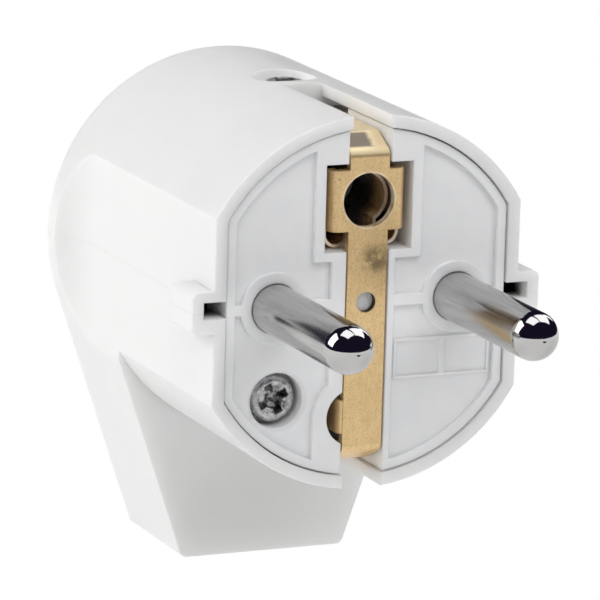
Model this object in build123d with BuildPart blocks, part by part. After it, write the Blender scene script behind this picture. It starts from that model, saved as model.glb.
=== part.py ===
"""Angled earthed mains plug, rewireable, with two round pins.

The rim of the hood is the plane y = 0. The pins point along -Y, +Z is up, and the
hood runs back along +Y to a cable spout that drops at the rear. Millimetres.
"""
import os
from math import atan2, cos, hypot, pi, radians, sin, sqrt, tan

from build123d import *

# Pins and their wire terminals
PIN_SPACING = 19.0
PIN_DIAMETER = 4.8
PIN_REACH = 19.3
PIN_FIT = 0.05
PIN_NECK_STEP = 0.2
PIN_NECK_SINK = 0.1
COLLAR_RADIUS = 3.6
COLLAR_LENGTH = 1.5
COLLAR_ROOM = 0.85
TERMINAL_RADIUS = 3.2
TERMINAL_LENGTH = 10.0
WIRE_BORE = 3.0
WIRE_BORE_DEPTH = 8.0

# Hood
HOOD_RADIUS = 18.4
HOOD_DEPTH = 39.8
HOOD_WALL = 2.0
MOUTH_WALL = 1.25
MOUTH_DEPTH = 11.0
RIM_ROUND = 0.1
BACK_ROUND = 2.0
FLAT_STOP = 8.3
FLAT_RUNOUT_RADIUS = 6.0
FLAT_RUNOUT_TURN = 60.0

# Guide ribs on the flats
RIB_PROUD = 2.25
RIB_HEIGHT = 4.2
RIB_LENGTH = 5.5
RIB_ROUND = 0.7
RIB_SLOT_HEIGHT = 1.65
RIB_SLOT_RISE = 0.25
RIB_SLOT_DEPTH = 4.7
RIB_SKIN = 1.2

# Earth slots in the hood, top and bottom
SLOT_WIDTH = 4.0
SLOT_LENGTH = 16.9
SLOT_THIN_SIDE = 4.0

# Cable spout, sized round the cable hole
CABLE_HOLE = 9.0
CABLE_ROOM_DEEP = 1.35
CABLE_ROOM_WIDE = 2.25
SPOUT_DROP = 31.1
SPOUT_END_HEIGHT = 1.0
SPOUT_EDGE_ROUND = 0.8

# Contact carrier
CARRIER_GAP = 0.15
CARRIER_SET_BACK = 0.3
CARRIER_PLATE = 3.0
SKIRT_WALL = 2.2
LIP_WIDTH = 0.9
RELIEF = 0.5
LAND_UPPER_HALF = 5.6
LAND_LEFT = 3.75
LAND_RIGHT = 2.9
LAND_SHOULDER = 4.2
LAND_ROUND_WELL = 1.45
BOSS_RADIUS = 3.5
BOSS_RIB = 1.05
PIN_POST_WALL = 0.7
FRAME_WIDTH = 5.1
FRAME_HEIGHT = 4.0
FRAME_LINE = 0.3
FRAME_PROUD = 0.2
FRAME_FROM_LIP = 0.25
FRAME_CENTRE_Z = -5.9

# Earth strip, its wings and its terminal lug
STRIP_WIDTH = 4.1
STRIP_THICKNESS = 0.8
STRIP_SINK = 0.1
STRIP_RUN = 11.5
STRIP_CREASE = 14.75
STRIP_RISE = 3.0
STRIP_INNER_BEND = 0.15
STRIP_FIT = 0.2
STRIP_HOLE = 2.0
CONTACT_ROOM = 0.95
EARTH_HEIGHT = 10.0
EARTH_HOLE_ROOM = 0.26
EARTH_PIN_FIT = 0.05
WING_HALF = 3.9
WING_HEIGHT = 6.0
WING_DEPTH = 1.7
WING_BEND = 1.0
POCKET_ROOM = 0.65
POCKET_FLOOR = 1.0
POCKET_WALL = 1.2
LUG_HEIGHT = 3.3
LUG_Z = -11.3
LUG_STANDS_OUT = 0.45
LUG_LENGTH = 17.0
LUG_SCREW_FROM_END = 2.65
LUG_NUT_MARGIN = 1.35
WELL_OFFSET = 1.5
WELL_ROOM = 0.6

# Spring clip behind the earth hole
CLIP_THICKNESS = 0.3
CLIP_GAP = 0.1
CLIP_END_ROOM = 0.2
CLIP_MOUTH = 2.5
CURL_RADIUS = 1.05
CURL_DROP = 1.4

# Screws, and the posts and seats that take them
SCREW_RADIUS = 1.45
SCREW_FIT = 0.05
SCREW_PASS = 0.25
SCREW_TIP_ROOM = 1.0
HEAD_HEIGHT = 1.9
HEAD_ROUND = 0.6
SLOTTED_HEAD_ROUND = 0.3
CROSS_WIDTH = 0.85
CROSS_LENGTH = 3.1
CROSS_CORE = 0.95
CROSS_DEPTH = 1.0
CROSS_TURN = 25.0
FACE_SCREW_FROM_EDGE = 5.6
FACE_SCREW_ANGLE = 226.5
FACE_SCREW_HEAD = 2.32
FACE_SCREW_SINK = 1.5
FACE_SCREW_LENGTH = 13.5
FACE_WELL_ROOM = 0.4
FACE_WELL_EDGE = 0.35
POST_RADIUS = 3.4
POST_END_WALL = 1.0
POST_ROOT = 0.5
TOP_SCREW_HEAD = 2.1
TOP_SCREW_LENGTH = 7.0
DISH_ROOM = 0.5
DISH_DEPTH = 2.4
DISH_TAPER = 14.0
DISH_FROM_SLOT = 1.4
ROOF_PAD = 2.0
ROOF_PAD_MARGIN = 0.5
WIRE_SCREW_RADIUS = 1.25
WIRE_SCREW_HEAD = 2.3
WIRE_SCREW_STOP = 0.2
WIRE_SCREW_FROM_END = 5.0

# Arm on the carrier that holds the top screw's nut
ARM_THICKNESS = 2.1
ARM_SIDE = 0.75
NUT_WIDTH = 5.5
NUT_HEIGHT = 2.2
NUT_FIT = 0.1
NUT_BLOCK_MARGIN = 0.6

# Cord grip at the back of the hood
CLAMP_Z = -11.0
CLAMP_SIDE = 3.5
CLAMP_POST_RADIUS = 2.6
CLAMP_BAR_THICKNESS = 2.0
CLAMP_BAR_HEIGHT = 5.6
CLAMP_SCREW_LENGTH = 7.5
CLAMP_SADDLE = 0.8

# Hood and carrier outlines
pin_radius = PIN_DIAMETER / 2
pin_x = PIN_SPACING / 2
hood_flat = pin_x + COLLAR_RADIUS + COLLAR_ROOM + HOOD_WALL
mouth_radius = HOOD_RADIUS - MOUTH_WALL
mouth_flat = hood_flat - MOUTH_WALL
inner_radius = HOOD_RADIUS - HOOD_WALL
inner_flat = hood_flat - HOOD_WALL
inner_back = HOOD_DEPTH - HOOD_WALL
carrier_radius = mouth_radius - CARRIER_GAP
carrier_flat = mouth_flat - CARRIER_GAP
plate_back = CARRIER_SET_BACK + CARRIER_PLATE
spout_front = HOOD_DEPTH - CABLE_HOLE - 2 * (HOOD_WALL + CABLE_ROOM_DEEP)
spout_end_width = CABLE_HOLE + 2 * (HOOD_WALL + CABLE_ROOM_WIDE)
cable_y = (spout_front + HOOD_DEPTH) / 2

# Pins, from the neck moulded into the carrier to the terminal's end
neck_radius = pin_radius - PIN_NECK_STEP
neck_front = CARRIER_SET_BACK + PIN_NECK_SINK
collar_back = MOUTH_DEPTH + COLLAR_LENGTH
terminal_end = collar_back + TERMINAL_LENGTH
wire_screw_y = terminal_end - WIRE_SCREW_FROM_END

# Earth strip, spring clip and the pocket round them
strip_front = CARRIER_SET_BACK + STRIP_SINK
strip_back = strip_front + STRIP_THICKNESS
strip_end = strip_front + STRIP_RUN
strip_top = mouth_radius - CONTACT_ROOM
strip_run_floor = strip_top - STRIP_THICKNESS
strip_bend = STRIP_INNER_BEND + STRIP_THICKNESS
strip_rise_end = strip_front + STRIP_RISE
rise_angle = atan2(strip_top - STRIP_CREASE, STRIP_RISE)
ramp_low = STRIP_CREASE - STRIP_THICKNESS * tan(pi / 4 - rise_angle / 2)
ramp_end = strip_rise_end + STRIP_THICKNESS * tan(rise_angle / 2)
earth_hole_radius = pin_radius + EARTH_HOLE_ROOM
clip_inner = pin_radius + EARTH_PIN_FIT
clip_outer = clip_inner + CLIP_THICKNESS
curl_outer = CURL_RADIUS + CLIP_THICKNESS
curl_x = CLIP_MOUTH / 2 + curl_outer
leg_top = EARTH_HEIGHT - sqrt(clip_inner**2 - (CLIP_MOUTH / 2) ** 2)
curl_z = leg_top - CURL_DROP
pocket_half = WING_HALF + POCKET_ROOM
pocket_top = EARTH_HEIGHT + WING_HEIGHT / 2 + POCKET_ROOM
pocket_bottom = curl_z - curl_outer - CLIP_GAP
pocket_depth = MOUTH_DEPTH - POCKET_FLOOR
clip_front = strip_front + WING_DEPTH + CLIP_GAP
clip_length = pocket_depth - clip_front - CLIP_END_ROOM
lug_outer = -STRIP_WIDTH / 2 - LUG_STANDS_OUT
lug_inner = lug_outer + STRIP_THICKNESS
lug_screw_y = LUG_LENGTH - LUG_SCREW_FROM_END
well_x = lug_outer + WELL_OFFSET
well_radius = hypot(WELL_OFFSET, LUG_HEIGHT / 2) + WELL_ROOM
foot_radius = well_radius + LAND_ROUND_WELL

# Screw places
face_screw_radius = HOOD_RADIUS - FACE_SCREW_FROM_EDGE
face_screw_x = face_screw_radius * cos(radians(FACE_SCREW_ANGLE))
face_screw_z = face_screw_radius * sin(radians(FACE_SCREW_ANGLE))
face_well_radius = FACE_SCREW_HEAD + FACE_WELL_ROOM
face_seat = CARRIER_SET_BACK + FACE_SCREW_SINK + HEAD_HEIGHT
post_hole_end = face_seat + FACE_SCREW_LENGTH + SCREW_TIP_ROOM
dish_floor = HOOD_RADIUS - DISH_DEPTH
dish_floor_radius = TOP_SCREW_HEAD + DISH_ROOM
dish_radius = dish_floor_radius + DISH_DEPTH * tan(radians(DISH_TAPER))
top_screw_y = SLOT_LENGTH + DISH_FROM_SLOT + dish_radius
roof_pad_half = dish_radius + ROOF_PAD_MARGIN
roof_pad_bottom = dish_floor - ROOF_PAD
nut_top = roof_pad_bottom - CARRIER_GAP - ARM_THICKNESS
nut_block_half = roof_pad_half + NUT_BLOCK_MARGIN
arm_half = NUT_WIDTH / 2 + NUT_FIT + ARM_SIDE
clamp_spread = CABLE_HOLE + 2 * CLAMP_SIDE
clamp_post_length = CLAMP_SCREW_LENGTH - CLAMP_BAR_THICKNESS + SCREW_TIP_ROOM
clamp_face = inner_back - clamp_post_length
bar_front = clamp_face - CLAMP_BAR_THICKNESS
clamp_points = [(-clamp_spread / 2, CLAMP_Z), (clamp_spread / 2, CLAMP_Z)]
pin_points = [(-pin_x, 0), (pin_x, 0)]


def behind(distance):
    """Plane parallel to the rim, this far behind it."""
    return Plane.XZ.offset(-distance)


def flatted_round(radius, half_width):
    """Round outline with two side flats, drawn in the open sketch."""
    Circle(radius)
    Rectangle(2 * half_width, 2 * radius, mode=Mode.INTERSECT)


def spout_outline():
    """Barrel's circle joined by straight sides to the spout's end, drawn in the open sketch."""
    Circle(HOOD_RADIUS)
    with Locations((0, -SPOUT_DROP)):
        Rectangle(spout_end_width, SPOUT_END_HEIGHT, align=(Align.CENTER, Align.MIN))
    make_hull()


def write(builder, name):
    builder.part.label = name
    export_step(builder.part, f"parts/{name}.step")


os.makedirs("parts", exist_ok=True)

# Hood: one white moulding, a round barrel with side flats and a spout that drops at the rear
with BuildPart() as housing:
    with BuildSketch(Plane.XZ):
        Circle(HOOD_RADIUS)
    extrude(amount=-HOOD_DEPTH)
    with BuildSketch(behind(spout_front)):
        spout_outline()
    extrude(amount=spout_front - HOOD_DEPTH)
    spout_corners = housing.edges().filter_by(Axis.Y).group_by(Axis.Z)[0]
    fillet(spout_corners, SPOUT_EDGE_ROUND)
    fillet(housing.faces().sort_by(Axis.Y)[-1].edges(), BACK_ROUND)

    # side flats, which run out into the full round at the back
    with BuildSketch(Plane.XY.offset(-HOOD_RADIUS)):
        with BuildLine():
            edge = Line((hood_flat, 0), (hood_flat, HOOD_DEPTH - FLAT_STOP))
            runout = JernArc(edge @ 1, (0, 1), FLAT_RUNOUT_RADIUS, -FLAT_RUNOUT_TURN)
            Polyline(runout @ 1, (2 * HOOD_RADIUS, (runout @ 1).Y), (2 * HOOD_RADIUS, 0), edge @ 0)
        make_face()
        mirror(about=Plane.YZ)
    extrude(amount=2 * HOOD_RADIUS, mode=Mode.SUBTRACT)

    # guide ribs
    with BuildSketch(Plane.XZ):
        RectangleRounded(2 * (hood_flat + RIB_PROUD), RIB_HEIGHT, RIB_ROUND)
    extrude(amount=-RIB_LENGTH)
    rim = housing.faces().sort_by(Axis.Y)[0]
    fillet(rim.outer_wire().edges(), RIM_ROUND)

    # mouth for the carrier, then the hollow behind its shoulder and down the spout
    with BuildSketch(Plane.XZ):
        flatted_round(mouth_radius, mouth_flat)
    extrude(amount=-MOUTH_DEPTH, mode=Mode.SUBTRACT)
    with BuildSketch(behind(MOUTH_DEPTH)):
        flatted_round(inner_radius, inner_flat)
    extrude(amount=MOUTH_DEPTH - inner_back, mode=Mode.SUBTRACT)
    with BuildSketch(behind(spout_front + HOOD_WALL)):
        spout_outline()
        offset(amount=-HOOD_WALL)
        Rectangle(2 * inner_flat, 2 * SPOUT_DROP, mode=Mode.INTERSECT)
    extrude(amount=spout_front + HOOD_WALL - inner_back, mode=Mode.SUBTRACT)

    # blind slots in the guide ribs, open to the mouth
    with BuildSketch(Plane.XZ):
        with Locations((0, RIB_SLOT_RISE)):
            Rectangle(2 * (hood_flat + RIB_PROUD - RIB_SKIN), RIB_SLOT_HEIGHT)
    extrude(amount=-RIB_SLOT_DEPTH, mode=Mode.SUBTRACT)

    # earth slots through the wall at top and bottom, with the wall thinned beside them
    with BuildSketch(behind(MOUTH_DEPTH)):
        Circle(mouth_radius)
        Rectangle(SLOT_WIDTH + 2 * SLOT_THIN_SIDE, 2 * HOOD_RADIUS, mode=Mode.INTERSECT)
    extrude(amount=MOUTH_DEPTH - SLOT_LENGTH, mode=Mode.SUBTRACT)
    with BuildSketch(Plane.XZ):
        Rectangle(SLOT_WIDTH, 2 * (HOOD_RADIUS + HOOD_WALL))
    extrude(amount=-SLOT_LENGTH, mode=Mode.SUBTRACT)

    # pad under the roof, dish and hole for the top screw
    with BuildSketch(Plane.XY.offset(roof_pad_bottom)):
        with Locations((0, top_screw_y)):
            Rectangle(2 * roof_pad_half, 2 * roof_pad_half)
    extrude(amount=ROOF_PAD)
    with BuildSketch(Plane.XY.offset(dish_floor)):
        with Locations((0, top_screw_y)):
            Circle(dish_floor_radius)
    extrude(amount=DISH_DEPTH, taper=-DISH_TAPER, mode=Mode.SUBTRACT)
    with BuildSketch(Plane.XY.offset(roof_pad_bottom)):
        with Locations((0, top_screw_y)):
            Circle(SCREW_RADIUS + SCREW_PASS)
    extrude(amount=ROOF_PAD, mode=Mode.SUBTRACT)

    # post that the face screw bites into, webbed to the wall
    with BuildSketch(behind(MOUTH_DEPTH)):
        with Locations((face_screw_x, face_screw_z)):
            Circle(POST_RADIUS)
            Rectangle(HOOD_RADIUS, 2 * POST_RADIUS, align=(Align.MAX, Align.CENTER))
        Circle(inner_radius + POST_ROOT, mode=Mode.INTERSECT)
        Rectangle(2 * (inner_flat + POST_ROOT), 2 * HOOD_RADIUS, mode=Mode.INTERSECT)
    extrude(amount=MOUTH_DEPTH - post_hole_end - POST_END_WALL)
    with BuildSketch(behind(MOUTH_DEPTH)):
        with Locations((face_screw_x, face_screw_z)):
            Circle(SCREW_RADIUS + SCREW_FIT)
    extrude(amount=MOUTH_DEPTH - post_hole_end, mode=Mode.SUBTRACT)

    # cord grip posts on the back wall, with screw holes
    with BuildSketch(behind(clamp_face)):
        with Locations(clamp_points):
            Circle(CLAMP_POST_RADIUS)
    extrude(amount=-clamp_post_length)
    with BuildSketch(behind(clamp_face)):
        with Locations(clamp_points):
            Circle(SCREW_RADIUS + SCREW_FIT)
    extrude(amount=-clamp_post_length, mode=Mode.SUBTRACT)

    # round hole in the spout's end for the cable
    with BuildSketch(Plane.XY.offset(-SPOUT_DROP)):
        with Locations((0, cable_y)):
            Circle(CABLE_HOLE / 2)
    extrude(amount=2 * HOOD_WALL, mode=Mode.SUBTRACT)
write(housing, "housing")

# Contact carrier: white moulding that fills the mouth and holds every contact
with BuildPart() as contact_carrier:
    with BuildSketch(behind(CARRIER_SET_BACK)):
        flatted_round(carrier_radius, carrier_flat)
    extrude(amount=CARRIER_SET_BACK - MOUTH_DEPTH)
    with BuildSketch(behind(plate_back)):
        flatted_round(carrier_radius - SKIRT_WALL, carrier_flat - SKIRT_WALL)
    extrude(amount=plate_back - MOUTH_DEPTH, mode=Mode.SUBTRACT)

    # shallow relief that leaves the lip, lands, pin bosses and ribs standing
    with BuildSketch(behind(CARRIER_SET_BACK)):
        flatted_round(carrier_radius - LIP_WIDTH, carrier_flat - LIP_WIDTH)
        with Locations((-LAND_UPPER_HALF, LAND_SHOULDER)):
            Rectangle(2 * LAND_UPPER_HALF, carrier_radius, align=Align.MIN, mode=Mode.SUBTRACT)
        with Locations((-LAND_LEFT, -carrier_radius)):
            Rectangle(LAND_LEFT + LAND_RIGHT, 2 * carrier_radius, align=Align.MIN, mode=Mode.SUBTRACT)
        with Locations(pin_points):
            Circle(BOSS_RADIUS, mode=Mode.SUBTRACT)
        Rectangle(2 * carrier_flat, BOSS_RIB, mode=Mode.SUBTRACT)
    extrude(amount=-RELIEF, mode=Mode.SUBTRACT)

    # land on the left of the earth lug's well, rounded to it and standing on the relief floor
    with BuildSketch(behind(CARRIER_SET_BACK + RELIEF)):
        with Locations((well_x, LUG_Z)):
            Circle(foot_radius)
            Rectangle(2 * foot_radius, carrier_radius, align=(Align.CENTER, Align.MAX))
        Rectangle(carrier_radius, 2 * carrier_radius, align=(Align.MAX, Align.CENTER), mode=Mode.INTERSECT)
        Circle(carrier_radius - LIP_WIDTH / 2, mode=Mode.INTERSECT)
    extrude(amount=RELIEF)

    # two plain frames standing on the relief floor
    with BuildSketch(behind(CARRIER_SET_BACK + RELIEF)):
        with Locations((carrier_flat - LIP_WIDTH - FRAME_FROM_LIP - FRAME_WIDTH, FRAME_CENTRE_Z)):
            Rectangle(2 * FRAME_WIDTH, FRAME_HEIGHT)
            with GridLocations(FRAME_WIDTH, FRAME_HEIGHT, 2, 1):
                Rectangle(FRAME_WIDTH - 2 * FRAME_LINE, FRAME_HEIGHT - 2 * FRAME_LINE, mode=Mode.SUBTRACT)
    extrude(amount=FRAME_PROUD)

    # posts behind the plate: pins, face screw, and a box round the earth spring
    with BuildSketch(behind(plate_back)):
        with Locations(pin_points):
            Circle(COLLAR_RADIUS + PIN_POST_WALL)
        with Locations((face_screw_x, face_screw_z)):
            Circle(POST_RADIUS)
        with Locations((0, strip_run_floor)):
            Rectangle(
                2 * (pocket_half + POCKET_WALL),
                strip_run_floor - pocket_bottom + POCKET_WALL,
                align=(Align.CENTER, Align.MAX),
            )
        Circle(carrier_radius, mode=Mode.INTERSECT)
        Rectangle(2 * carrier_flat, 2 * carrier_radius, mode=Mode.INTERSECT)
    extrude(amount=plate_back - MOUTH_DEPTH)

    # arm to the back with a captive nut for the top screw
    with BuildSketch(Plane.XY.offset(nut_top + ARM_THICKNESS)):
        with Locations((0, MOUTH_DEPTH)):
            Rectangle(
                2 * arm_half,
                top_screw_y - nut_block_half - MOUTH_DEPTH,
                align=(Align.CENTER, Align.MIN),
            )
    extrude(amount=-ARM_THICKNESS)
    with BuildSketch(Plane.XY.offset(nut_top + ARM_THICKNESS)):
        with Locations((0, top_screw_y)):
            Rectangle(2 * arm_half, 2 * nut_block_half)
    extrude(amount=-NUT_HEIGHT - 2 * ARM_THICKNESS)
    with BuildSketch(Plane.XY.offset(nut_top + NUT_FIT)):
        with Locations((0, top_screw_y - NUT_WIDTH / 2 - NUT_FIT)):
            Rectangle(NUT_WIDTH + 2 * NUT_FIT, HOOD_DEPTH, align=(Align.CENTER, Align.MIN))
    extrude(amount=-NUT_HEIGHT - 2 * NUT_FIT, mode=Mode.SUBTRACT)
    with BuildSketch(Plane.XY.offset(HOOD_RADIUS)):
        with Locations((0, top_screw_y)):
            Circle(SCREW_RADIUS + SCREW_PASS)
    extrude(amount=-HOOD_RADIUS, mode=Mode.SUBTRACT)

    # pin bores, narrower round the necks
    with BuildSketch(Plane.XZ):
        with Locations(pin_points):
            Circle(pin_radius + PIN_FIT)
    extrude(amount=-neck_front - PIN_FIT, mode=Mode.SUBTRACT)
    with BuildSketch(Plane.XZ):
        with Locations(pin_points):
            Circle(neck_radius + PIN_FIT)
    extrude(amount=-MOUTH_DEPTH, mode=Mode.SUBTRACT)

    # channel for the strip down the face, with ramps to its runs at top and bottom
    with BuildSketch(Plane.XZ):
        Rectangle(STRIP_WIDTH + 2 * STRIP_FIT, 2 * HOOD_RADIUS)
    extrude(amount=-strip_back, mode=Mode.SUBTRACT)
    with BuildSketch(Plane.XZ):
        with Locations((0, strip_run_floor)):
            Rectangle(STRIP_WIDTH + 2 * STRIP_FIT, HOOD_RADIUS, align=(Align.CENTER, Align.MIN))
        mirror(about=Plane.XZ)
    extrude(amount=-MOUTH_DEPTH, mode=Mode.SUBTRACT)
    with BuildSketch(Plane.YZ.offset(-STRIP_WIDTH / 2 - STRIP_FIT)):
        with BuildLine():
            Polyline(
                (0, ramp_low - STRIP_FIT),
                (strip_back, ramp_low - STRIP_FIT),
                (ramp_end, strip_run_floor),
                (0, strip_run_floor),
                close=True,
            )
        make_face()
        mirror(about=Plane.XZ)
    extrude(amount=STRIP_WIDTH + 2 * STRIP_FIT, mode=Mode.SUBTRACT)

    # pocket for the wings and the spring, open to the earth pin behind
    with BuildSketch(Plane.XZ):
        with Locations((0, pocket_bottom)):
            Rectangle(2 * pocket_half, pocket_top - pocket_bottom, align=(Align.CENTER, Align.MIN))
    extrude(amount=-pocket_depth, mode=Mode.SUBTRACT)
    with BuildSketch(Plane.XZ):
        with Locations((0, EARTH_HEIGHT)):
            Circle(earth_hole_radius)
    extrude(amount=-MOUTH_DEPTH, mode=Mode.SUBTRACT)

    # round well that lets the earth lug through to the back
    with BuildSketch(Plane.XZ):
        with Locations((well_x, LUG_Z)):
            Circle(well_radius)
    extrude(amount=-MOUTH_DEPTH, mode=Mode.SUBTRACT)

    # well and hole for the face screw
    with BuildSketch(Plane.XZ):
        with Locations((face_screw_x, face_screw_z)):
            Circle(face_well_radius)
    extrude(amount=-face_seat, mode=Mode.SUBTRACT)
    with BuildSketch(behind(CARRIER_SET_BACK + RELIEF)):
        with Locations((face_screw_x, face_screw_z)):
            Circle(face_well_radius + FACE_WELL_EDGE)
    extrude(amount=-FACE_WELL_EDGE, taper=45, mode=Mode.SUBTRACT)
    with BuildSketch(Plane.XZ):
        with Locations((face_screw_x, face_screw_z)):
            Circle(SCREW_RADIUS + SCREW_PASS)
    extrude(amount=-MOUTH_DEPTH, mode=Mode.SUBTRACT)
write(contact_carrier, "contact_carrier")


def turned_pin(x, name):
    """Plated pin with a ball end, a neck and collar in the carrier and a wire terminal behind."""
    axis_plane = Plane(origin=(x, 0, 0), x_dir=(1, 0, 0), z_dir=(0, 0, 1))
    with BuildPart() as pin:
        with BuildSketch(axis_plane):
            with BuildLine():
                ball = CenterArc((0, pin_radius - PIN_REACH), pin_radius, -90, 90)
                Polyline(
                    ball @ 1,
                    (pin_radius, neck_front),
                    (neck_radius, neck_front),
                    (neck_radius, MOUTH_DEPTH),
                    (COLLAR_RADIUS, MOUTH_DEPTH),
                    (COLLAR_RADIUS, collar_back),
                    (TERMINAL_RADIUS, collar_back),
                    (TERMINAL_RADIUS, terminal_end),
                    (0, terminal_end),
                    ball @ 0,
                )
            make_face()
        revolve(axis=Axis((x, 0, 0), (0, 1, 0)))
        with BuildSketch(behind(terminal_end)):
            with Locations((x, 0)):
                Circle(WIRE_BORE / 2)
        extrude(amount=WIRE_BORE_DEPTH, mode=Mode.SUBTRACT)
        with BuildSketch(Plane.XY):
            with Locations((x, wire_screw_y)):
                Circle(WIRE_SCREW_RADIUS + SCREW_FIT)
        extrude(amount=2 * TERMINAL_RADIUS, mode=Mode.SUBTRACT)
    write(pin, name)


turned_pin(-pin_x, "line_pin")
turned_pin(pin_x, "neutral_pin")


def slotted_screw(seat, shank_radius, shank_length, head_radius, name):
    """Cheese-head screw with one straight slot, standing on the seat plane's normal."""
    with BuildPart() as screw:
        with BuildSketch(seat):
            Circle(head_radius)
        extrude(amount=HEAD_HEIGHT)
        fillet(screw.faces().sort_by(Axis(seat.origin, seat.z_dir))[-1].edges(), SLOTTED_HEAD_ROUND)
        with BuildSketch(seat):
            Circle(shank_radius)
        extrude(amount=-shank_length)
        with BuildSketch(seat.offset(HEAD_HEIGHT)):
            Rectangle(2 * head_radius, CROSS_WIDTH)
        extrude(amount=-CROSS_DEPTH, mode=Mode.SUBTRACT)
    write(screw, name)


def cross_screw(seat, shank_length, head_radius, name):
    """Pan-head screw with a cross recess, standing on the seat plane's normal."""
    with BuildPart() as screw:
        with BuildSketch(seat):
            Circle(head_radius)
        extrude(amount=HEAD_HEIGHT)
        fillet(screw.faces().sort_by(Axis(seat.origin, seat.z_dir))[-1].edges(), HEAD_ROUND)
        with BuildSketch(seat):
            Circle(SCREW_RADIUS)
        extrude(amount=-shank_length)
        with BuildSketch(seat.offset(HEAD_HEIGHT)):
            Rectangle(CROSS_LENGTH, CROSS_WIDTH, rotation=CROSS_TURN)
            Rectangle(CROSS_WIDTH, CROSS_LENGTH, rotation=CROSS_TURN)
            Circle(CROSS_CORE)
        extrude(amount=-CROSS_DEPTH, mode=Mode.SUBTRACT)
    write(screw, name)


# Wire screws in the pins' terminals, seated on the terminals' crowns
for x, name in ((-pin_x, "line_terminal_screw"), (pin_x, "neutral_terminal_screw")):
    crown = Plane(origin=(x, wire_screw_y, TERMINAL_RADIUS), z_dir=(0, 0, 1))
    slotted_screw(crown, WIRE_SCREW_RADIUS, TERMINAL_RADIUS - WIRE_SCREW_STOP, WIRE_SCREW_HEAD, name)

# Screw in the face, which draws the carrier into the hood
face_seat_plane = Plane(
    origin=(face_screw_x, face_seat, face_screw_z), x_dir=(1, 0, 0), z_dir=(0, -1, 0)
)
cross_screw(face_seat_plane, FACE_SCREW_LENGTH, FACE_SCREW_HEAD, "face_screw")

# Screw in the dish on top, and the square nut in the carrier's arm
top_seat_plane = Plane(origin=(0, top_screw_y, dish_floor), z_dir=(0, 0, 1))
cross_screw(top_seat_plane, TOP_SCREW_LENGTH, TOP_SCREW_HEAD, "top_screw")

with BuildPart() as top_screw_nut:
    with BuildSketch(Plane.XY.offset(nut_top)):
        with Locations((0, top_screw_y)):
            Rectangle(NUT_WIDTH, NUT_WIDTH)
            Circle(SCREW_RADIUS + SCREW_FIT, mode=Mode.SUBTRACT)
    extrude(amount=-NUT_HEIGHT)
write(top_screw_nut, "top_screw_nut")

# Earth strip: one piece of brass, folded back at both ends, with wings round the earth hole
with BuildPart() as earth_strip:
    with BuildSketch(Plane.YZ.offset(-STRIP_WIDTH / 2)) as strip_side:
        with BuildLine():
            Polyline(
                (strip_front, 0),
                (strip_front, STRIP_CREASE),
                (strip_rise_end, strip_top),
                (strip_end, strip_top),
                (strip_end, strip_run_floor),
                (ramp_end, strip_run_floor),
                (strip_back, ramp_low),
                (strip_back, 0),
                close=True,
            )
        make_face()
        fillet(strip_side.vertices().sort_by_distance((strip_front, STRIP_CREASE))[0], strip_bend)
        fillet(strip_side.vertices().sort_by_distance((strip_back, ramp_low))[0], STRIP_INNER_BEND)
        mirror(about=Plane.XZ)
    extrude(amount=STRIP_WIDTH)
    with BuildSketch(Plane.XY.offset(EARTH_HEIGHT - WING_HEIGHT / 2)) as wings:
        with Locations((0, strip_front)):
            Rectangle(2 * WING_HALF, WING_DEPTH, align=(Align.CENTER, Align.MIN))
        fillet(wings.vertices().group_by(Axis.Y)[0], WING_BEND)
        with Locations((0, strip_back)):
            Rectangle(
                2 * (WING_HALF - STRIP_THICKNESS),
                WING_DEPTH,
                align=(Align.CENTER, Align.MIN),
                mode=Mode.SUBTRACT,
            )
    extrude(amount=WING_HEIGHT)
    with BuildSketch(behind(strip_front)):
        with Locations((0, EARTH_HEIGHT)):
            Circle(earth_hole_radius)
        Circle(STRIP_HOLE / 2)
    extrude(amount=-STRIP_THICKNESS, mode=Mode.SUBTRACT)

    # lug folded back through the well, for the earth wire
    with BuildSketch(Plane.XY.offset(LUG_Z - LUG_HEIGHT / 2)) as lug:
        with Locations((lug_outer, strip_front)):
            Rectangle(STRIP_WIDTH / 2, LUG_LENGTH - strip_front, align=Align.MIN)
        fillet(lug.vertices().group_by(Axis.Y)[0].sort_by(Axis.X)[0], strip_bend)
        with Locations((lug_inner, strip_back)):
            Rectangle(STRIP_WIDTH, LUG_LENGTH, align=Align.MIN, mode=Mode.SUBTRACT)
    extrude(amount=LUG_HEIGHT)
    with BuildSketch(Plane.YZ.offset(lug_outer)):
        with Locations((lug_screw_y, LUG_Z)):
            Circle(WIRE_SCREW_RADIUS + SCREW_FIT)
    extrude(amount=STRIP_THICKNESS, mode=Mode.SUBTRACT)
write(earth_strip, "earth_strip")

# Spring clip that grips the socket's earth pin: a split ring whose ends curl outwards
with BuildPart() as earth_spring_clip:
    with BuildSketch(behind(clip_front)):
        with Locations((-curl_x, curl_z), (curl_x, curl_z)):
            Circle(curl_outer)
            Rectangle(2 * curl_outer, CURL_DROP, align=(Align.CENTER, Align.MIN))
        with Locations((-curl_x, curl_z), (curl_x, curl_z)):
            Circle(CURL_RADIUS, mode=Mode.SUBTRACT)
            Rectangle(2 * CURL_RADIUS, CURL_DROP, align=(Align.CENTER, Align.MIN), mode=Mode.SUBTRACT)
        with Locations((0, EARTH_HEIGHT)):
            Circle(clip_outer)
            Circle(clip_inner, mode=Mode.SUBTRACT)
            Rectangle(CLIP_MOUTH, 2 * clip_outer, align=(Align.CENTER, Align.MAX), mode=Mode.SUBTRACT)
    extrude(amount=-clip_length)
write(earth_spring_clip, "earth_spring_clip")

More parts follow.
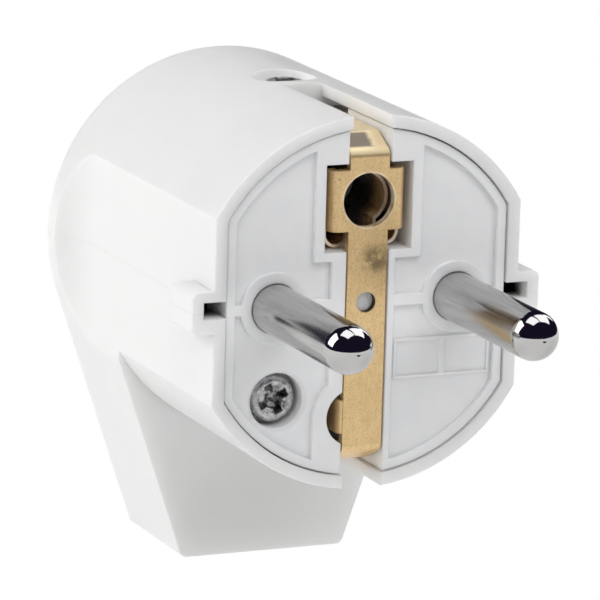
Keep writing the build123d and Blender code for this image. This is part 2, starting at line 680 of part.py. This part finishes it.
# Earth terminal: square brass nut behind the lug, with its wire screw
with BuildPart() as earth_terminal:
    with BuildSketch(Plane.YZ.offset(lug_inner)):
        with Locations((lug_screw_y, LUG_Z)):
            Rectangle(LUG_HEIGHT + LUG_NUT_MARGIN, LUG_HEIGHT + LUG_NUT_MARGIN)
            Circle(WIRE_SCREW_RADIUS + SCREW_FIT, mode=Mode.SUBTRACT)
    extrude(amount=NUT_HEIGHT)
write(earth_terminal, "earth_terminal")

lug_seat = Plane(origin=(lug_outer, lug_screw_y, LUG_Z), x_dir=(0, 1, 0), z_dir=(-1, 0, 0))
slotted_screw(
    lug_seat, WIRE_SCREW_RADIUS, STRIP_THICKNESS + NUT_HEIGHT, WIRE_SCREW_HEAD, "earth_terminal_screw"
)

# Cord grip: a bar across two posts, with a shallow saddle for the cord, and its two screws
with BuildPart() as cord_clamp_bar:
    with BuildSketch(behind(bar_front)):
        with Locations((0, CLAMP_Z)):
            SlotCenterToCenter(clamp_spread, CLAMP_BAR_HEIGHT)
        with Locations(clamp_points):
            Circle(SCREW_RADIUS + SCREW_PASS, mode=Mode.SUBTRACT)
    extrude(amount=-CLAMP_BAR_THICKNESS)
    with BuildSketch(Plane.XY.offset(CLAMP_Z - CLAMP_BAR_HEIGHT)):
        with Locations((0, clamp_face + CABLE_HOLE / 2 - CLAMP_SADDLE)):
            Circle(CABLE_HOLE / 2)
    extrude(amount=2 * CLAMP_BAR_HEIGHT, mode=Mode.SUBTRACT)
write(cord_clamp_bar, "cord_clamp_bar")

with BuildPart() as cord_clamp_screws:
    with BuildSketch(behind(bar_front)):
        with Locations(clamp_points):
            Circle(FACE_SCREW_HEAD)
    extrude(amount=HEAD_HEIGHT)
    fillet(cord_clamp_screws.faces().group_by(Axis.Y)[0].edges(), HEAD_ROUND)
    with BuildSketch(behind(bar_front)):
        with Locations(clamp_points):
            Circle(SCREW_RADIUS)
    extrude(amount=-CLAMP_SCREW_LENGTH)
    with BuildSketch(behind(bar_front - HEAD_HEIGHT)):
        with Locations(clamp_points):
            Rectangle(CROSS_LENGTH, CROSS_WIDTH)
            Rectangle(CROSS_WIDTH, CROSS_LENGTH)
            Circle(CROSS_CORE)
    extrude(amount=-CROSS_DEPTH, mode=Mode.SUBTRACT)
write(cord_clamp_screws, "cord_clamp_screws")
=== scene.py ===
from math import cos, radians, sin

import bpy
from mathutils import Matrix, Vector


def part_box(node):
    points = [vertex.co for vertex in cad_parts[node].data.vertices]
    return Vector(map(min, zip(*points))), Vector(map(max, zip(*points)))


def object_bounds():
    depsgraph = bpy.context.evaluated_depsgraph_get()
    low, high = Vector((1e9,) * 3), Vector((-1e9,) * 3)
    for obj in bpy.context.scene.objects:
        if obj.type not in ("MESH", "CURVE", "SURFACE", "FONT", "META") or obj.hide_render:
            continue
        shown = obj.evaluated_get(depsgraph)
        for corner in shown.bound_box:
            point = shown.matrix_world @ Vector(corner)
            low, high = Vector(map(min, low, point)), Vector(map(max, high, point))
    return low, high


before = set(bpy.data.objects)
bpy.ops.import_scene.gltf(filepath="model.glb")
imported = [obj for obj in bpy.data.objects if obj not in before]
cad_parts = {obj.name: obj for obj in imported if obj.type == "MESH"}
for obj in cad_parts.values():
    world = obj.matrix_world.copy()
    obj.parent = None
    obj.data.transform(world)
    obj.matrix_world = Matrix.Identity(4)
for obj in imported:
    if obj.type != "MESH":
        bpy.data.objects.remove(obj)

cad_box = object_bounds()

# Hood: the white outer shell, which covers the back of the plug and drops to the cable spout.
# One moulding in hard, slightly translucent plastic with a very fine grain. Its mould leaves a parting
# line along both sides, and the slots of its two guide ribs get a painted shade, near black, as hardly any light gets
# into them.
hood_whites = (0.842, 0.842, 0.837, 1), (0.852, 0.852, 0.847, 1)
hood_roughness = 0.31, 0.36
hood_soak_share = 0.65
hood_soak_depth = 0.0018  # metres, as all lengths are
hood_ripple_per_metre = 420
hood_grain_per_metre = 5200
hood_grain_rise = 0.00002
hood_grain_strength = 0.12
hood_edge_round = 0.00018
parting_line_half_width = 0.00009
parting_line_rise = 0.00005
parting_line_strength = 0.5
rib_slot_inner = 0.01475
rib_slot_outer = 0.0171
rib_slot_height = 0.00025
rib_slot_half = 0.00088
rib_slot_shade_depths = 0.0008, 0.0034
rib_slot_end = 0.0049
rib_slot_blur = 0.0001
rib_slot_painted_shade = (0.02, 0.019, 0.022, 1)
most_noise = 0.3, 0.7


def blank_material(name):
    """New material whose only shader is joined to its output."""
    material = bpy.data.materials.new(name)
    material.use_nodes = True
    tree = material.node_tree
    tree.nodes.clear()
    output = tree.nodes.new("ShaderNodeOutputMaterial")
    shader = tree.nodes.new("ShaderNodeBsdfPrincipled")
    tree.links.new(shader.outputs["BSDF"], output.inputs["Surface"])
    return material, tree, shader


def connect(tree, node, **inputs):
    """Fills a node's sockets, given by name or as _number, with values or with other nodes' outputs."""
    for key, value in inputs.items():
        socket = node.inputs[int(key[1:])] if key[1:].isdigit() else node.inputs[key.replace("_", " ")]
        if isinstance(value, bpy.types.NodeSocket):
            tree.links.new(value, socket)
        else:
            socket.default_value = value


def add(tree, kind, settings=None, **inputs):
    """New node with its own settings and its sockets filled."""
    node = tree.nodes.new(kind)
    for key, value in (settings or {}).items():
        setattr(node, key, value)
    connect(tree, node, **inputs)
    return node


def place(tree, factors=None):
    """The surface point in the piece's own metres, with each axis multiplied by its factor."""
    point = add(tree, "ShaderNodeTexCoord").outputs["Object"]
    if factors is None:
        return point
    return add(tree, "ShaderNodeVectorMath", {"operation": "MULTIPLY"}, _0=point, _1=factors).outputs["Vector"]


def place_axis(tree, axis):
    """One coordinate of the surface point, in metres."""
    return add(tree, "ShaderNodeSeparateXYZ", Vector=place(tree)).outputs[axis]


def noise(tree, per_metre, detail=2.0, roughness=0.5, factors=None):
    """Noise as a plain value, drawn out along any axis that has a small factor."""
    return add(tree, "ShaderNodeTexNoise", Vector=place(tree, factors), Scale=per_metre, Detail=detail,
               Roughness=roughness).outputs["Fac"]


def span(tree, value, low, high, to_low=0.0, to_high=1.0):
    """Value mapped from one range to another with soft ends."""
    return add(tree, "ShaderNodeMapRange", {"interpolation_type": "SMOOTHSTEP"}, Value=value, From_Min=low,
               From_Max=high, To_Min=to_low, To_Max=to_high).outputs["Result"]


def fall(tree, value, start, end, top=1.0):
    """Value that falls from its top to 0 between two limits."""
    return span(tree, value, start, end, top, 0.0)


def arithmetic(tree, operation, first, second=0.0):
    """One sum of two values."""
    return add(tree, "ShaderNodeMath", {"operation": operation}, _0=first, _1=second).outputs["Value"]


def product(tree, first, *others):
    """All the values multiplied together."""
    for other in others:
        first = arithmetic(tree, "MULTIPLY", first, other)
    return first


def mixed_colour(tree, share, first, second):
    """Colour that goes from the first to the second as the share goes from 0 to 1."""
    # Sockets 6 and 7 and output 2 are the node's colours; the others of these names are plain values.
    return add(tree, "ShaderNodeMix", {"data_type": "RGBA"}, Factor=share, _6=first, _7=second).outputs[2]


def rounded_edges(tree, radius):
    """Surface direction with the edges softened."""
    return add(tree, "ShaderNodeBevel", {"samples": 6}, Radius=radius).outputs["Normal"]


def relief(tree, height, rise, strength, under=None):
    """Surface direction with a fine relief, laid over another direction if there is one."""
    bump = add(tree, "ShaderNodeBump", Height=height, Distance=rise, Strength=strength)
    if under is not None:
        connect(tree, bump, Normal=under)
    return bump.outputs["Normal"]


def soaked(tree, shader, share, depth):
    """Lets light a little way into a white moulding, the red part furthest."""
    connect(tree, shader, Subsurface_Weight=share, Subsurface_Scale=depth, Subsurface_Radius=(1, 0.95, 0.9))


def finish_of(node_name, material):
    """Puts a material on a CAD node."""
    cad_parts[node_name].material_slots[0].material = material


hood_plastic, tree, shader = blank_material("hood_plastic")
soaked(tree, shader, hood_soak_share, hood_soak_depth)
ripple = noise(tree, hood_ripple_per_metre, detail=3)
shade = mixed_colour(tree, span(tree, ripple, *most_noise), *hood_whites)
sideways = arithmetic(tree, "ABSOLUTE", place_axis(tree, "X"))
upwards = place_axis(tree, "Z")
backwards = place_axis(tree, "Y")
off_rib_slot = arithmetic(tree, "ABSOLUTE", arithmetic(tree, "SUBTRACT", upwards, rib_slot_height))
# Painted shade: inside the guide ribs' slots the colour goes near black.
rib_slot_shade_mask = product(
    tree,
    span(tree, sideways, rib_slot_inner - rib_slot_blur, rib_slot_inner),
    fall(tree, sideways, rib_slot_outer, rib_slot_outer + rib_slot_blur),
    fall(tree, off_rib_slot, rib_slot_half, rib_slot_half + rib_slot_blur),
    span(tree, backwards, *rib_slot_shade_depths),
    fall(tree, backwards, rib_slot_end, rib_slot_end + rib_slot_blur),
)
shade = mixed_colour(tree, rib_slot_shade_mask, shade, rib_slot_painted_shade)
parting_line = fall(tree, arithmetic(tree, "ABSOLUTE", upwards), 0, parting_line_half_width)
seamed = relief(tree, parting_line, parting_line_rise, parting_line_strength, rounded_edges(tree, hood_edge_round))
grained = relief(tree, noise(tree, hood_grain_per_metre), hood_grain_rise, hood_grain_strength, seamed)
connect(tree, shader, Base_Color=shade, Roughness=span(tree, ripple, *most_noise, *hood_roughness), Normal=grained)
finish_of("housing", hood_plastic)

# Contact carrier: the white moulding in the hood's mouth that holds the pins, the strip and the clip.
# Plastic of the hood's kind, a touch cooler and duller, pushed in from the front and held by the face
# screw. The strip covers the middle of its floor, and where the floor shows through the strip's middle hole it has a
# painted light, near white.
carrier_whites = (0.875, 0.88, 0.89, 1), (0.90, 0.903, 0.91, 1)
carrier_roughness = 0.36, 0.48
carrier_soak_share = 0.45
carrier_soak_depth = 0.0008
carrier_mottle_per_metre = 420
carrier_grain_per_metre = 4200
carrier_grain_rise = 0.00002
carrier_grain_strength = 0.15
carrier_edge_round = 0.00016
hole_floor_painted_light = (0.98, 0.98, 0.98, 1)
hole_floor_light_radius = 0.0015, 0.0018


def distance(tree, centre=(0, 0, 0), factors=None):
    """How far the surface point lies from a centre. A factor of 0 leaves that axis out."""
    return add(tree, "ShaderNodeVectorMath", {"operation": "DISTANCE"}, _0=place(tree, factors),
               _1=centre).outputs["Value"]


carrier_plastic, tree, shader = blank_material("carrier_plastic")
soaked(tree, shader, carrier_soak_share, carrier_soak_depth)
mottle = noise(tree, carrier_mottle_per_metre, detail=4)
shade = mixed_colour(tree, span(tree, mottle, *most_noise), *carrier_whites)
# Painted light: near white round the middle, where the floor shows through the strip's middle hole.
shade = mixed_colour(tree, fall(tree, distance(tree), *hole_floor_light_radius), shade, hole_floor_painted_light)
grained = relief(tree, noise(tree, carrier_grain_per_metre), carrier_grain_rise, carrier_grain_strength,
                 rounded_edges(tree, carrier_edge_round))
connect(tree, shader, Base_Color=shade, Roughness=span(tree, mottle, *most_noise, *carrier_roughness), Normal=grained)
finish_of("contact_carrier", carrier_plastic)

# Pins: drawn brass rod with nickel plate, turned at the ends and moulded into the carrier.
# The shank keeps streaks from the drawing and faint turning lines, and the round tip is polished.
pin_plate = (0.54, 0.535, 0.53, 1)
pin_streak = (0.48, 0.475, 0.47, 1)
pin_streaks_per_metre = 3000
pin_streak_draw = (1, 0.05, 1)
pin_streak_noise = 0.4, 0.65
pin_tip_length = 0.0024
pin_tip_blend = -0.0001, 0.0004
pin_polish = 0.07
pin_satin = 0.07, 0.17
turning_lines_per_metre = 9000
turning_line_rise = 0.00001
turning_line_strength = 0.02, 0.25

pin_nickel, tree, shader = blank_material("pin_nickel")
backwards = place_axis(tree, "Y")
tip_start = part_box("line_pin")[0].y + pin_tip_length
on_shank = span(tree, backwards, tip_start + pin_tip_blend[0], tip_start + pin_tip_blend[1])
drawn = noise(tree, pin_streaks_per_metre, detail=4, factors=pin_streak_draw)
streaks = product(tree, on_shank, span(tree, drawn, *pin_streak_noise))
satin = product(tree, on_shank, span(tree, drawn, *most_noise, *pin_satin))
turning_lines = add(tree, "ShaderNodeTexNoise", {"noise_dimensions": "1D"}, W=backwards,
                    Scale=turning_lines_per_metre, Detail=3).outputs["Fac"]
turned = relief(tree, turning_lines, turning_line_rise, span(tree, on_shank, 0, 1, *turning_line_strength))
connect(tree, shader, Base_Color=mixed_colour(tree, streaks, pin_plate, pin_streak), Metallic=1.0,
        Roughness=arithmetic(tree, "ADD", satin, pin_polish), Normal=turned)
finish_of("line_pin", pin_nickel)
finish_of("neutral_pin", pin_nickel)

# Earth strip: stamped from sheet brass, folded, and laid in the carrier's channel with its terminal.
# Rolled satin metal with fine grain and specks, and tarnished below the earth hole. Up its ramp it has a painted
# shadow in grey, and the wall of its middle hole a painted dark shade. The crease and the ramp have a painted
# highlight in pale brass, less metallic, and it is rubbed bright round the earth hole.
brass_shades = (0.84, 0.60, 0.30, 1), (0.92, 0.67, 0.35, 1)
brass_cloud_per_metre = 900
brass_cloud_noise = 0.2, 0.8
brass_grain = (0.56, 0.40, 0.20, 1)
brass_grain_per_metre = 5600
brass_grain_noise = 0.5, 0.7
brass_grain_share = 0.55
brass_grain_rise = 0.00001
brass_grain_strength = 0.1
rolling_lines_per_metre = 5200
rolling_line_draw = (1, 1, 0.06)
rolling_line_noise = 0.45, 0.75
rolling_line_share = 0.2
brass_speck = (0.45, 0.32, 0.17, 1)
brass_specks_per_metre = 3000
brass_speck_noise = 0.70, 0.76
brass_speck_share = 0.7
brass_roughness = 0.36, 0.42
brass_smears_per_metre = 1300
brass_edge_round = 0.00012
brass_metal = 0.8
bright_brass_metal = 0.35
tarnish_brown = (0.16, 0.11, 0.06, 1)
tarnish_centre = (0.0009, 0.0004, 0.0042)
tarnish_radius = 0.0004, 0.0022
tarnish_share = 0.75
tarnish_per_metre = 700
tarnish_noise = 0.3, 0.6
ramp_painted_highlight = (0.99, 0.83, 0.53, 1)
ramp_from = 0.0142, 0.0147
ramp_share = 0.9
ramp_painted_shadow = (0.17, 0.145, 0.12, 1)
ramp_grey_from = 0.0150, 0.0152
ramp_grey_side = 0.0010, 0.0016
ramp_grey_back = 0.0030, 0.0034
ramp_grey_share = 0.9
ramp_grey_wander = 0.0012
middle_hole_painted_shade = (0.06, 0.04, 0.02, 1)
middle_hole_radius = 0.00102, 0.00108
middle_hole_front = 0.00042, 0.0005
rubbed_bright = (1.0, 0.84, 0.60, 1)
rubbed_centre = (0, 0, 0.010)
rubbed_radius = 0.00268, 0.00292
rubbed_per_metre = 800
rubbed_noise = 0.4, 0.55
rubbed_share = 0.3, 0.9
across_face = (1, 0, 1)

strip_brass, tree, shader = blank_material("strip_brass")
cloud = noise(tree, brass_cloud_per_metre, detail=3)
shade = mixed_colour(tree, span(tree, cloud, *brass_cloud_noise), *brass_shades)
rolled = noise(tree, rolling_lines_per_metre, detail=3, factors=rolling_line_draw)
shade = mixed_colour(tree, span(tree, rolled, *rolling_line_noise, 0, rolling_line_share), shade, brass_grain)
grain = noise(tree, brass_grain_per_metre)
shade = mixed_colour(tree, span(tree, grain, *brass_grain_noise, 0, brass_grain_share), shade, brass_grain)
specks = span(tree, noise(tree, brass_specks_per_metre), *brass_speck_noise, 0, brass_speck_share)
shade = mixed_colour(tree, specks, shade, brass_speck)
tarnish = product(
    tree,
    fall(tree, distance(tree, tarnish_centre), *tarnish_radius, tarnish_share),
    span(tree, noise(tree, tarnish_per_metre, detail=3), *tarnish_noise),
)
shade = mixed_colour(tree, tarnish, shade, tarnish_brown)
upwards = place_axis(tree, "Z")
backwards = place_axis(tree, "Y")
# Painted highlight: from the crease up the ramp the colour turns pale brass.
ramp_highlight_mask = span(tree, upwards, *ramp_from)
shade = mixed_colour(tree, product(tree, ramp_highlight_mask, ramp_share), shade, ramp_painted_highlight)
# Painted shadow: a grey patch up the left side of the ramp, with a wandering edge.
wandering = arithmetic(tree, "ADD", place_axis(tree, "X"), product(tree, cloud, ramp_grey_wander))
ramp_shadow_mask = product(
    tree,
    span(tree, upwards, *ramp_grey_from),
    fall(tree, wandering, *ramp_grey_side, ramp_grey_share),
    fall(tree, backwards, *ramp_grey_back),
)
shade = mixed_colour(tree, ramp_shadow_mask, shade, ramp_painted_shadow)
# Painted shade: the wall of the strip's middle hole is coloured near black.
middle_hole_shade_mask = product(
    tree,
    fall(tree, distance(tree, factors=across_face), *middle_hole_radius),
    span(tree, backwards, *middle_hole_front),
)
shade = mixed_colour(tree, middle_hole_shade_mask, shade, middle_hole_painted_shade)
rubbed = product(
    tree,
    fall(tree, distance(tree, rubbed_centre, across_face), *rubbed_radius),
    span(tree, noise(tree, rubbed_per_metre), *rubbed_noise, *rubbed_share),
)
shade = mixed_colour(tree, rubbed, shade, rubbed_bright)
bright = arithmetic(tree, "MAXIMUM", rubbed, ramp_highlight_mask)
smears = noise(tree, brass_smears_per_metre, detail=3)
grained = relief(tree, grain, brass_grain_rise, brass_grain_strength, rounded_edges(tree, brass_edge_round))
connect(tree, shader, Base_Color=shade, Metallic=span(tree, bright, 0, 1, brass_metal, bright_brass_metal),
        Roughness=span(tree, smears, *most_noise, *brass_roughness), Normal=grained)
finish_of("earth_strip", strip_brass)
finish_of("earth_terminal", strip_brass)

# Spring clip: a rolled bronze leaf behind the strip that grips the socket's earth pin.
# Darker and redder than the strip, with a painted highlight on its front edge, and a painted shade that goes
# near black deeper inside its pocket in the carrier, which holds it.
bronze_shades = (0.62, 0.37, 0.14, 1), (0.90, 0.62, 0.29, 1)
bronze_cloud_per_metre = 600
bronze_roughness = 0.2, 0.34
bronze_metal = 0.65
clip_painted_shade = (0.03, 0.02, 0.012, 1)
clip_shade_from = 0.0030, 0.0060
clip_edge_painted_highlight = (1.0, 0.86, 0.70, 1)
clip_edge_ends = 0.00225, 0.0025
clip_edge_share = 0.9

clip_bronze, tree, shader = blank_material("clip_bronze")
cloud = noise(tree, bronze_cloud_per_metre, detail=3)
shade = mixed_colour(tree, span(tree, cloud, *most_noise), *bronze_shades)
backwards = place_axis(tree, "Y")
# Painted shade: the colour goes near black deeper along the clip.
shade = mixed_colour(tree, span(tree, backwards, *clip_shade_from), shade, clip_painted_shade)
# Painted highlight: a pale line along the clip's front edge.
shade = mixed_colour(tree, fall(tree, backwards, *clip_edge_ends, clip_edge_share), shade, clip_edge_painted_highlight)
connect(tree, shader, Base_Color=shade, Metallic=bronze_metal,
        Roughness=span(tree, cloud, *most_noise, *bronze_roughness))
finish_of("earth_spring_clip", clip_bronze)

# Screws and nut: zinc-plated steel, with a driver recess in each turned head.
# Cloudy, dented plating. The recesses are dark with grime and painted shade, and darker smears are
# mixed over the middle of the heads, most on the two which hold the carrier and the hood.
screw_shades = (0.40, 0.40, 0.41, 1), (0.72, 0.72, 0.72, 1)
screw_cloud_per_metre = 1100
screw_roughness = 0.18, 0.36
screw_metal = 0.65
screw_edge_round = 0.00012
screw_dents_per_metre = 1700
screw_dent_rise = 0.0001
screw_dent_strength = 0.7
grime_and_shade_tones = (0.045, 0.044, 0.048, 1), (0.38, 0.375, 0.38, 1)
grime_and_shade_per_metre = 2300
grime_and_shade_noise = 0.42, 0.62
recess_depth = 0.00015, 0.00045
recess_radius = 0.0017, 0.0018
smears_per_metre = 1300
smear_noise = 0.40, 0.52
smear_roughness = 0.7
smear_radius = 0.0012, 0.0021
smear_outside = 0.12


def screw_finish(name, shaft, out, smear_share):
    """Plated steel for a screw whose head faces out along an axis, with grime and painted shade in its recess and
    darker smears to a share.
    """
    low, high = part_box(name)
    head_top = (high if out > 0 else low)["XYZ".index(shaft)]
    across_head = [float(axis != shaft) for axis in "XYZ"]
    middle = [factor * (start + end) / 2 for factor, start, end in zip(across_head, low, high)]
    material, tree, shader = blank_material(name + "_steel")
    cloud = noise(tree, screw_cloud_per_metre, detail=3)
    shade = mixed_colour(tree, span(tree, cloud, *most_noise), *screw_shades)
    from_middle = distance(tree, middle, across_head)
    below_top = product(tree, arithmetic(tree, "SUBTRACT", head_top, place_axis(tree, shaft)), out)
    # Grime and painted shade: the recess is coloured dark below the head's top.
    recess_grime_and_shade = product(tree, span(tree, below_top, *recess_depth), fall(tree, from_middle, *recess_radius))
    smeared = product(
        tree,
        span(tree, noise(tree, smears_per_metre, 4, smear_roughness), *smear_noise, 0, smear_share),
        span(tree, from_middle, *smear_radius, 1, smear_outside),
    )
    grime_and_shade = mixed_colour(tree, span(tree, noise(tree, grime_and_shade_per_metre, detail=3), *grime_and_shade_noise), *grime_and_shade_tones)
    shade = mixed_colour(tree, arithmetic(tree, "MAXIMUM", recess_grime_and_shade, smeared), shade, grime_and_shade)
    dented = relief(tree, noise(tree, screw_dents_per_metre, detail=3), screw_dent_rise, screw_dent_strength,
                    rounded_edges(tree, screw_edge_round))
    connect(tree, shader, Base_Color=shade, Metallic=screw_metal,
            Roughness=span(tree, cloud, *most_noise, *screw_roughness), Normal=dented)
    finish_of(name, material)


screw_finish("face_screw", "Y", -1, smear_share=0.85)
screw_finish("top_screw", "Z", 1, smear_share=0.4)
screw_finish("line_terminal_screw", "Z", 1, smear_share=0.2)
screw_finish("neutral_terminal_screw", "Z", 1, smear_share=0.2)
screw_finish("earth_terminal_screw", "X", -1, smear_share=0.2)
screw_finish("cord_clamp_screws", "Y", -1, smear_share=0.2)
screw_finish("top_screw_nut", "Z", 1, smear_share=0.2)

# Cord grip bar: a small white moulding behind the spout's hole, which presses on the cable.
# The same plastic as the carrier, held across two posts of the hood by a screw at each end.
finish_of("cord_clamp_bar", carrier_plastic)

# Floor: a plain pale sheet that lies well below the plug and takes its soft shadow.
# Matt white near the plug. Further out it fades to the white of the surround for what looks at it
# straight, and further out still for what is mirrored in the metal.
floor_white = (0.9, 0.9, 0.9, 1)
floor_roughness = 0.9
floor_size = 4
floor_drop = 0.03
floor_fade = 0.03, 0.1
floor_mirror_fade = 0.1, 0.5
surround_white = (1, 1, 1, 1)
surround_strength = 1.0

bpy.ops.object.select_all(action="DESELECT")
bpy.ops.mesh.primitive_plane_add(size=floor_size, location=(0, 0, cad_box[0][2] - floor_drop))
floor = bpy.context.object
floor.name = "floor"
floor_sheet, tree, shader = blank_material("floor_sheet")
connect(tree, shader, Base_Color=floor_white, Roughness=floor_roughness)
rays = add(tree, "ShaderNodeLightPath").outputs
away = distance(tree)
straight = arithmetic(tree, "MAXIMUM", rays["Is Camera Ray"], rays["Is Transmission Ray"])
faded = arithmetic(
    tree,
    "MAXIMUM",
    product(tree, straight, span(tree, away, *floor_fade)),
    product(tree, rays["Is Glossy Ray"], span(tree, away, *floor_mirror_fade)),
)
surround = add(tree, "ShaderNodeEmission", Color=surround_white, Strength=surround_strength).outputs["Emission"]
blend = add(tree, "ShaderNodeMixShader", Fac=faded, _1=shader.outputs["BSDF"], _2=surround)
connect(tree, tree.nodes["Material Output"], Surface=blend.outputs["Shader"])
floor.data.materials.append(floor_sheet)

# Light: a white surround that gives little light itself, and large soft lamps round the plug.
# The lamps at the left, the top and the right light it and are mirrored in the polished metal, the one
# overhead is only mirrored, and the four fill lamps only light it.
fill_strength = 0.06
lamp_distance = 0.7
fill_lamp_size = 0.5

world = bpy.data.worlds.new("surround")
bpy.context.scene.world = world
world.use_nodes = True
tree = world.node_tree
tree.nodes.clear()
rays = add(tree, "ShaderNodeLightPath").outputs
seen = arithmetic(tree, "MAXIMUM", rays["Is Camera Ray"], rays["Is Glossy Ray"])
seen = arithmetic(tree, "MAXIMUM", seen, rays["Is Transmission Ray"])
fill = add(tree, "ShaderNodeBackground", Color=surround_white, Strength=fill_strength)
white = add(tree, "ShaderNodeBackground", Color=surround_white, Strength=surround_strength)
blend = add(tree, "ShaderNodeMixShader", Fac=seen, _1=fill.outputs["Background"], _2=white.outputs["Background"])
add(tree, "ShaderNodeOutputWorld", Surface=blend.outputs["Shader"])


def softbox(name, direction, width, height, watts):
    """Rectangular lamp that faces the plug from a direction."""
    lamp = bpy.data.lights.new(name, "AREA")
    lamp.shape = "RECTANGLE"
    lamp.size = width
    lamp.size_y = height
    lamp.energy = watts
    holder = bpy.data.objects.new(name, lamp)
    bpy.context.scene.collection.objects.link(holder)
    away = Vector(direction).normalized()
    holder.location = away * lamp_distance
    holder.rotation_euler = away.to_track_quat("Z", "Y").to_euler()
    return holder


softbox("left", (-0.77, 0.41, 0.48), width=0.45, height=0.5, watts=2.5)
softbox("top", (0.56, 0.14, 0.82), width=0.5, height=0.5, watts=1.4)
softbox("right", (0.735, 0.53, 0.41), width=0.12, height=0.3, watts=0.2)
softbox("overhead", (-0.12, -0.05, 0.99), width=0.5, height=0.45, watts=1.2).visible_diffuse = False
for name, direction, watts in (
    ("left_front", (-0.92, -0.10, 0.38), 1.2),
    ("front", (-0.30, -0.52, 0.80), 1.4),
    ("front_right", (0.32, -0.66, 0.68), 1.8),
    ("back", (0.72, 0.68, 0.12), 1.0),
):
    softbox(name, direction, fill_lamp_size, fill_lamp_size, watts).visible_glossy = False

# Studio: the dark room round the table, a large globe that stands far outside the lamps.
# Nothing but mirrored rays meets it, so it only shows as the bluish black in the polished metal.
studio_radius = 1.5
studio_black = (0.008, 0.008, 0.01, 1)
studio_blue = (0.5, 0.3, 1, 1)
studio_blue_strength = 0.022

bpy.ops.object.select_all(action="DESELECT")
bpy.ops.mesh.primitive_uv_sphere_add(segments=48, ring_count=24, radius=studio_radius)
studio = bpy.context.object
studio.name = "studio"
studio.visible_camera = False
studio.visible_diffuse = False
studio.visible_shadow = False
studio.visible_transmission = False
studio_dark, tree, shader = blank_material("studio_dark")
connect(tree, shader, Base_Color=studio_black, Roughness=1.0, Specular_IOR_Level=0.0, Emission_Color=studio_blue,
        Emission_Strength=studio_blue_strength)
studio.data.materials.append(studio_dark)

# Camera: a long lens at the photograph's viewing angle, a little above the face and to its left.
# Its angles, distance and lens were fitted to the pins, the earth hole and the rim.
camera_azimuth = radians(-23.673)
camera_elevation = radians(12.919)
camera_roll = radians(1.665)
camera_distance = 0.500068
camera_right = -0.0064941
camera_up = 0.0002937
camera_clip = 0.01
focal_pixels = 5211.67
image_pixels = 600
sensor_width = 36

back = Vector((sin(camera_azimuth) * cos(camera_elevation), -cos(camera_azimuth) * cos(camera_elevation),
               sin(camera_elevation)))
level = Vector((cos(camera_azimuth), sin(camera_azimuth), 0))
upright = back.cross(level)
right = cos(camera_roll) * level + sin(camera_roll) * upright
up = cos(camera_roll) * upright - sin(camera_roll) * level
lens = bpy.data.cameras.new("camera")
lens.sensor_width = sensor_width
lens.lens = focal_pixels * sensor_width / image_pixels
lens.clip_start = camera_clip
camera = bpy.data.objects.new("camera", lens)
bpy.context.scene.collection.objects.link(camera)
camera.matrix_world = Matrix((right, up, back)).transposed().to_4x4()
camera.location = back * camera_distance + right * camera_right + up * camera_up
bpy.context.scene.camera = camera
bpy.context.scene.view_settings.view_transform = "Standard"
